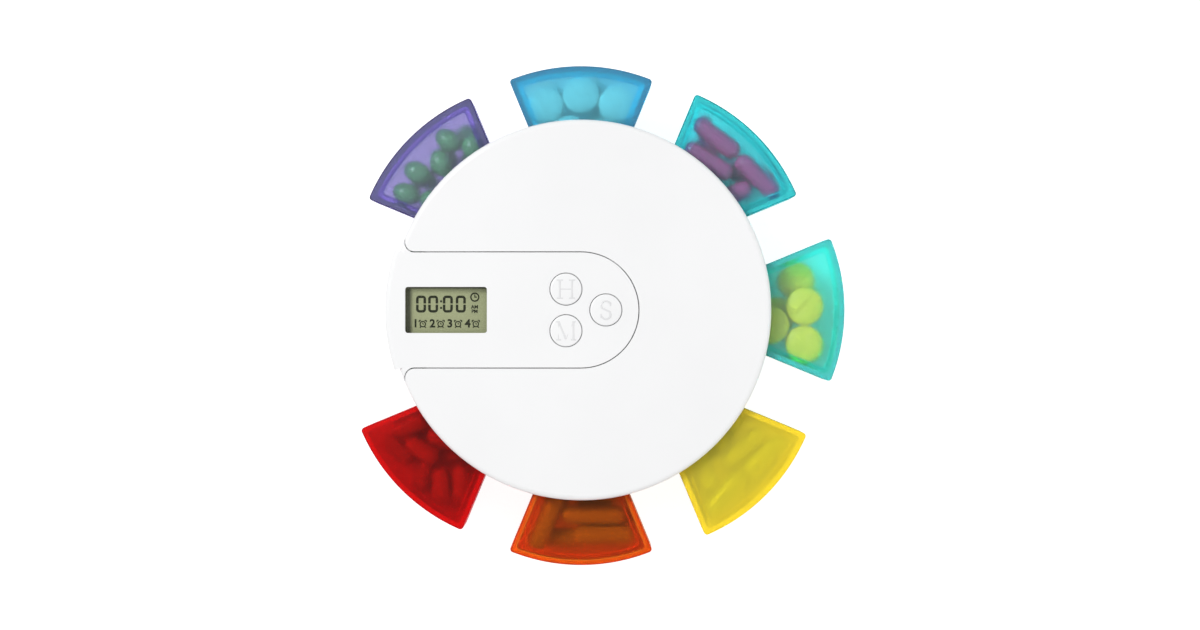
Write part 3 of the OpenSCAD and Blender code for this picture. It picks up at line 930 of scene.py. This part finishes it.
@dataclass(frozen=True)
class Tints:
    """Tints of a box's plastic, and the share of light that its lid scatters.

    edge is painted shade: a darker tint on the lid's sides and rounded edge for the dark outline
    they show. rim, at the tops of the tray's walls, is the walls' deep colour, darkened besides as
    painted shade for that outline.
    """

    plate: Colour
    lip: Colour
    rim: Colour
    floor: Colour
    edge: Colour
    cloud: float


@dataclass
class PillBox:
    """One translucent box with its lid and pills, riding on its own slide, in millimetres.

    place counts the eighths of the circle, anticlockwise from the one across from the nose.
    """

    name: str
    place: int
    tints: Tints
    filling: Filling
    lid_t: float = 1.2
    space: Inside = field(default_factory=Inside)
    floor_z: float = 4.0 * MM
    tray_cloud: float = 0.65
    tray_radius: float = 0.3
    tray_sink: float = 0.03
    lid_radius: float = 0.5
    grid: float = 1.7
    columns: int = 11
    stray: float = 0.3
    squeeze: float = 0.97

    def pull(self, frame: dict) -> float:
        """Returns how far the box is pulled out at rest, in millimetres, from its joint's range."""
        joint = next(j for j in frame["joints"] if j["name"] == self.name + "_slide")
        return -joint["range_m"][0] / MM

    def spine(self, pill: Pill) -> list[tuple[float, float, float]]:
        """Returns points along a pill's middle line, with its depth below the top layer."""
        f = self.filling
        if f.kind is PillKind.TABLET:
            return [(pill.along, pill.across, pill.down)]
        a, reach = math.radians(pill.turn), (f.length - f.thick) / 2
        offsets = [reach * i / 3 for i in range(-3, 4)]
        return [
            (pill.along + x * math.cos(a), pill.across + x * math.sin(a), pill.down)
            for x in offsets
        ]

    def fits(self, pill: Pill) -> bool:
        """True if a pill lies inside the box's walls."""
        reach = self.filling.width / 2
        return all(self.space.room(x, y) >= reach for x, y, _ in self.spine(pill))

    def clears(self, pill: Pill, other: Pill) -> bool:
        """True if two pills don't run into each other."""
        f = self.filling
        if math.hypot(pill.along - other.along, pill.across - other.across) >= f.length:
            return True
        if f.kind is PillKind.TABLET:
            return abs(pill.down - other.down) >= f.thick
        apart = f.thick * self.squeeze
        return all(math.dist(p, q) >= apart for p in self.spine(pill) for q in self.spine(other))

    def spots(self) -> Iterable[Pill]:
        """Yields places for the pills that fill up the box, the highest first, turned by chance."""
        f, chance = self.filling, random.Random(self.filling.seed)
        turns = (0,) if f.kind is PillKind.TABLET else tuple(range(0, 180, 30))
        depth = self.space.ceiling - f.thick
        tried = []
        along = f.far - f.width / 2
        while along > self.space.near:
            for i in range(-self.columns, self.columns + 1):
                across = i * self.grid + chance.uniform(-self.stray, self.stray)
                pill = Pill(along, across, chance.choice(turns))
                if self.fits(pill):
                    tried.append(pill)
            along -= self.grid
        for level in range(3 * f.layers):
            for pill in tried:
                if level or pill.along < f.near:
                    lowest = depth - self.space.ground(pill.along, pill.across, f.length, f.length)
                    yield replace(pill, down=min(level * f.thick / 3, lowest))

    def heap(self) -> list[Pill]:
        """Returns the box's pills: those that show first, then what fills up the layers below."""
        laid = []
        for pill in self.filling.top:
            if not self.fits(pill) or not all(self.clears(pill, other) for other in laid):
                log.warning("%s: no room at %.1f, %.1f", self.name, pill.along, pill.across)
            laid.append(pill)
        for pill in self.spots():
            if all(self.clears(pill, other) for other in laid):
                laid.append(pill)
        return laid

    def pills(self, pull: float) -> bpy.types.Object:
        """Piles the pills as one piece in the box, which is pulled out by millimetres."""
        f, chance = self.filling, random.Random(self.filling.seed)
        template = bpy.data.meshes.new("pill")
        one = f.shape()
        one.to_mesh(template)
        one.free()
        bm = bmesh.new()
        turn = Matrix.Rotation(self.place * 2 * HALF_PLACE, 4, "Z")
        out = turn @ Matrix.Translation((pull * MM, 0, 0))
        for pill in self.heap():
            height = self.space.ceiling - f.thick / 2 - pill.down
            flip = chance.choice((0, math.pi)) if f.kind is PillKind.CAPSULE else 0.0
            place = (
                out
                @ Matrix.Translation(Vector((pill.along, pill.across, height)) * MM)
                @ Matrix.Rotation(math.radians(pill.turn) + flip, 4, "Z")
            )
            before = len(bm.verts)
            bm.from_mesh(template)
            bm.verts.ensure_lookup_table()
            bmesh.ops.transform(bm, matrix=place, verts=bm.verts[before:])
        bpy.data.meshes.remove(template)
        piece = as_object(bm, f"{self.name}_{f.kind.value}", 40)
        roughness, gloss = (0.4, 0.0) if f.kind is PillKind.TABLET else (0.2, 0.5)
        coat = PillCoat(f"{self.name}_pill_coat", f.colour, roughness, gloss)
        piece.data.materials.append(coat.material())
        return piece

    def build(self, frame: dict) -> None:
        """Makes the box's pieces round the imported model."""
        body = self.name + "_box"
        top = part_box(f"{self.name}_lid")[1].z
        seat = top - self.lid_t * MM
        t = self.tints
        deep, wall = toward(t.lip, WHITE, 0.6), toward(t.lip, t.plate, 0.4)
        lid_turns = (
            step(seat, -0.2, 0, t.plate),
            # the lid's sides and rounded edge take the edge tint, painted shade for their dark
            # outline
            step(seat, 0.02, 0.06, t.edge),
            step(top, -0.012, -0.002, t.plate),
        )
        tray_turns = (
            step(self.floor_z, -0.12, -0.04, t.floor),
            step(self.floor_z, 0.04, 0.12, wall),
            # the tops of the walls take the rim tint: their deep colour, darkened besides as
            # painted shade for the outline
            step(seat, -0.3, -0.1, t.rim),
        )
        lid = TintedPlastic(self.name + "_lid_tint", t.lip, lid_turns, t.plate, deep, t.cloud)
        tray = TintedPlastic(
            self.name + "_tray_tint", wall, tray_turns, t.floor, deep, self.tray_cloud, 0.4
        )
        for part, finish, radius, sink in (
            ("tray", tray, self.tray_radius, self.tray_sink), ("lid", lid, self.lid_radius, 0.0),
        ):
            node = f"{self.name}_{part}"
            piece = rounded_copy(
                frame["nodes"][node], node + "_moulded", radius * MM, sink=sink * MM
            )
            piece.data.materials.clear()
            piece.data.materials.append(finish.material())
            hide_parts(node)
            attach(piece, body)
            log.info("%s: %d faces", piece.name, len(piece.data.polygons))
        pile = self.pills(self.pull(frame))
        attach(pile, body)
        log.info("%s: %d faces", pile.name, len(pile.data.polygons))


def fillings() -> dict[str, Filling]:
    """Returns what each box holds."""
    return {
        "purple": Filling(
            PillKind.SOFTGEL, colour=(0.1, 0.4, 0.14), length=8.2, thick=6.3,
            top=(
                Pill(44.4, 12.1, 20), Pill(46.6, 5.4, 20), Pill(43.6, -1.4, -20),
                Pill(46.8, -7.6, 10), Pill(40.2, -11.1, -30), Pill(37.2, 8.6), Pill(36.4, 1.5, 90),
            ),
            far=47.5, seed=3,
        ),
        "blue": Filling(
            PillKind.TABLET, colour=(0.8, 0.8, 0.78), length=10.7, thick=5.1,
            top=(
                Pill(43.6, 10.3, 20), Pill(46.7, 0.0, 70), Pill(44.1, -10.4, 40),
                Pill(35.4, 3.3, 90),
            ),
            seed=5,
        ),
        "cyan": Filling(
            PillKind.CAPSULE, colour=(0.75, 0.05, 0.2), length=16.4, thick=5.7,
            top=(
                Pill(46.4, 7.6, 97), Pill(46.8, -8.9, 90), Pill(39.8, 4.6, 102),
                Pill(35.8, -6.6, 157.5),
            ),
            far=48.6, seed=7,
        ),
        "teal": Filling(
            PillKind.TABLET, colour=(0.84, 0.62, 0.04), length=11.0, thick=5.1,
            top=(
                Pill(43.6, 1.0, 40), Pill(43.4, -10.0, 80), Pill(33.6, -4.4, 20),
                Pill(41.4, 8.6, 0, 5.1),
            ),
            far=49.6, near=36.0, seed=9,
        ),
        "yellow": Filling(
            PillKind.CAPSULE, colour=(0.3, 0.35, 0.05), length=15.6, thick=5.8,
            top=(
                Pill(47.0, 8.0, 88), Pill(46.6, -8.2, 94), Pill(40.6, 5.2, 84),
                Pill(36.2, -7.0, 157.5),
            ),
            seed=11,
        ),
        "orange": Filling(
            PillKind.CAPSULE, colour=(0.3, 0.44, 0.16), length=18.6, thick=5.7,
            top=(Pill(46.6, 6.6, 91), Pill(42.2, -10.2, 157.5), Pill(40.6, 3.8, 90)),
            far=50.4, seed=13,
        ),
        "red": Filling(
            PillKind.CAPSULE, colour=(0.4, 0.42, 0.2), length=11.0, thick=5.6,
            top=(
                Pill(46.2, 7.4, 47), Pill(41.6, 11.0, 47), Pill(42.8, -3.9, 105),
                Pill(40.0, -11.4, 157.5),
            ),
            far=50.5, near=36.0, seed=15,
        ),
    }


def boxes() -> list[PillBox]:
    """Returns the seven boxes in their order round the body."""
    tints = {
        "purple": Tints((0.69, 0.73, 0.83), (0.36, 0.27, 0.8), (0.11, 0.08, 0.22),
                        (0.85, 0.72, 0.95), (0.1, 0.06, 0.24), 0.06),
        "blue": Tints((0.37, 0.79, 0.88), (0.025, 0.7, 0.96), (0.02, 0.17, 0.31),
                      (0.8, 0.95, 0.98), (0.01, 0.1, 0.3), 0.1),
        "cyan": Tints((0.56, 0.92, 0.95), (0.06, 0.98, 0.98), (0.03, 0.55, 0.54),
                      (0.3, 0.96, 0.98), (0.02, 0.4, 0.44), 0.03),
        "teal": Tints((0.74, 0.95, 0.9), (0.035, 0.98, 0.98), (0.015, 0.5, 0.54),
                      (0.2, 0.96, 0.95), (0.03, 0.36, 0.38), 0.04),
        "yellow": Tints((0.97, 0.87, 0.12), (0.98, 0.88, 0.02), (0.93, 0.79, 0.02),
                        (0.92, 0.86, 0.06), (0.9, 0.74, 0.04), 0.26),
        "orange": Tints((0.88, 0.32, 0.05), (0.98, 0.35, 0.01), (0.9, 0.8, 0.4),
                        (0.9, 0.34, 0.05), (0.7, 0.12, 0.03), 0.03),
        "red": Tints((0.8, 0.06, 0.05), (0.97, 0.01, 0.08), (0.9, 0.01, 0.14),
                     (0.75, 0.03, 0.05), (0.6, 0.01, 0.05), 0.03),
    }
    inside = fillings()
    return [PillBox(name, 3 - i, tints[name], inside[name]) for i, name in enumerate(tints)]


# The case


@dataclass
class Case:
    """Cover, panel, base and everything inside them."""

    white: Colour = (0.93, 0.933, 0.938)
    # mark: the letters are the same white plastic, greyed as painted shade for the shade of their
    # raised strokes
    mark: Colour = (0.79, 0.794, 0.802)

    def build(self, frame: dict) -> tuple[bpy.types.Material, bpy.types.Material]:
        """Dresses the case.

        Args:
            frame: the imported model.

        Returns:
            The buttons' material and that of their letters.
        """
        shell = MouldedPlastic("case_white", self.white, 0.4).material()
        cap = MouldedPlastic("button_white", self.white, 0.3, relief=5e-6).material()
        # the letters' grey is painted shade for the shade of their raised strokes
        mark = MouldedPlastic("letter_white_painted_shade", self.mark, 0.3, relief=5e-6).material()
        black = MouldedPlastic(
            "black_moulding", (0.02, 0.02, 0.022), 0.45, grain=1200, shift=0.3
        ).material()
        rubber = MouldedPlastic(
            "contact_rubber_skin", (0.03, 0.03, 0.03), 0.75, grain=2400, relief=15e-6, shift=0.4
        ).material()
        ivory = MouldedPlastic("ivory_moulding", (0.7, 0.67, 0.58), 0.4).material()
        board = BoardLacquer("board_lacquer", (0.015, 0.13, 0.05), (0.03, 0.22, 0.09)).material()
        nickel = PlatedMetal("cell_nickel", (0.66, 0.66, 0.65), 0.2).material()
        brass = PlatedMetal("spring_brass", (0.78, 0.62, 0.32), 0.25).material()
        zinc = PlatedMetal("screw_zinc", (0.58, 0.58, 0.6), 0.3).material()
        finishes = {
            shell: ("base_shell", "cover_shell", "timer_panel", "battery_door"),
            black: ("lcd_holder", "controller_chip", "buzzer", "tact_switches"),
            rubber: ("zebra_strips",),
            ivory: ("hour_plunger", "minute_plunger", "set_plunger", "battery_cradle"),
            board: ("circuit_board",),
            nickel: ("coin_cell",),
            brass: ("top_contact", "side_contact"),
            zinc: ("case_screws", "board_screws", "cradle_screws"),
        }
        for finish, names in finishes.items():
            for name in names:
                frame["nodes"][name].material_slots[0].material = finish
        log.info("case: %d nodes dressed", sum(len(names) for names in finishes.values()))
        return cap, mark


# The studio


@dataclass(frozen=True)
class Lamp:
    """A square soft lamp that points at the object, in metres and watts."""

    name: str
    place: tuple[float, float, float]
    size: float
    power: float

    def hang(self) -> None:
        """Adds the lamp to the scene, unseen through the boxes."""
        data = bpy.data.lights.new(self.name, "AREA")
        data.shape = "SQUARE"
        data.size = self.size
        data.energy = self.power
        lamp = bpy.data.objects.new(self.name, data)
        lamp.location = self.place
        lamp.rotation_euler = (-Vector(self.place)).to_track_quat("-Z", "Y").to_euler()
        lamp.visible_transmission = False
        bpy.context.scene.collection.objects.link(lamp)


@dataclass
class Studio:
    """Camera, lamps, floor and surroundings."""

    scale: float = 0.2884 * MM
    axis_px: Point2 = (580.9, 309.95)
    frame_px: Point2 = (1200.0, 630.0)
    distance: float = 0.9
    top: float = 0.028
    horizon: float = 0.88
    zenith: float = 0.53
    sensor: float = 36.0
    floor_grey: float = 0.4
    floor_glow: float = 0.9
    lamps: tuple[Lamp, ...] = (
        Lamp("key", (-1.5, 0.95, 2.0), size=0.6, power=30),
        Lamp("side", (1.3, -0.5, 0.5), size=1.2, power=5),
    )

    def build(self) -> None:
        """Makes everything round the object."""
        self.camera()
        self.floor()
        for lamp in self.lamps:
            lamp.hang()
        self.surroundings()

    def camera(self) -> None:
        """Looks straight down, framed as the photograph is."""
        data = bpy.data.cameras.new("camera")
        data.sensor_width = self.sensor
        data.lens = self.sensor * self.distance / (self.frame_px[0] * self.scale)
        data.clip_start, data.clip_end = 0.05, 20
        eye = bpy.data.objects.new("camera", data)
        x = (self.frame_px[0] / 2 - self.axis_px[0]) * self.scale
        y = (self.axis_px[1] - self.frame_px[1] / 2) * self.scale
        eye.location = (x, y, self.top + self.distance)
        bpy.context.scene.collection.objects.link(eye)
        bpy.context.scene.camera = eye

    def floor(self) -> None:
        """Lays a white floor that keeps the shadows and that a view from below looks through."""
        bm = bmesh.new()
        bmesh.ops.create_grid(bm, x_segments=1, y_segments=1, size=3)
        floor = as_object(bm, "floor")
        s = Sketch("white_floor")
        path = s.node("LightPath")
        seen = path.outputs["Is Camera Ray"]
        for ray in ("Is Glossy Ray", "Is Transmission Ray"):
            seen = s.math("MAXIMUM", seen, path.outputs[ray])
        upper = s.principled(
            Base_Color=(self.floor_grey, self.floor_grey, self.floor_grey, 1),
            Roughness=0.9,
            Specular_IOR_Level=0.0,
            Emission_Color=(*WHITE, 1),
            Emission_Strength=s.math("MULTIPLY", seen, self.floor_glow),
        )
        s.mix(s.node("NewGeometry").outputs["Backfacing"], upper, s.node("BsdfTransparent"))
        floor.data.materials.append(s.material)

    def surroundings(self) -> None:
        """Sets pale light, brighter towards the horizon, and white where the camera sees it."""
        world = bpy.data.worlds.new("surroundings")
        world.use_nodes = True
        bpy.context.scene.world = world
        nodes, link = world.node_tree.nodes, world.node_tree.links.new
        back = nodes["Background"]
        split = nodes.new("ShaderNodeSeparateXYZ")
        link(nodes.new("ShaderNodeTexCoord").outputs["Generated"], split.inputs[0])
        fall = nodes.new("ShaderNodeMapRange")
        fall.inputs["To Min"].default_value = self.horizon
        fall.inputs["To Max"].default_value = self.zenith
        link(split.outputs["Z"], fall.inputs["Value"])
        pick = nodes.new("ShaderNodeMix")
        pick.data_type = "FLOAT"
        link(nodes.new("ShaderNodeLightPath").outputs["Is Camera Ray"], pick.inputs["Factor"])
        link(fall.outputs["Result"], pick.inputs["A"])
        pick.inputs["B"].default_value = 1.0
        link(pick.outputs["Result"], back.inputs["Strength"])
        back.inputs["Color"].default_value = (1, 1, 1, 1)


def main() -> None:
    """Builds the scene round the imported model."""
    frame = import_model()
    bpy.context.scene.view_settings.view_transform = "Standard"
    Studio().build()
    cap, mark = Case().build(frame)
    Display().build(frame)
    for button in (
        PushButton("hour_button", Body.HOUR, "H"),
        PushButton("minute_button", Body.MINUTE, "M"),
        PushButton("set_button", Body.SET, "S"),
    ):
        button.build(frame, cap, mark)
    for box in boxes():
        box.build(frame)


if __name__ == "__main__":
    main()
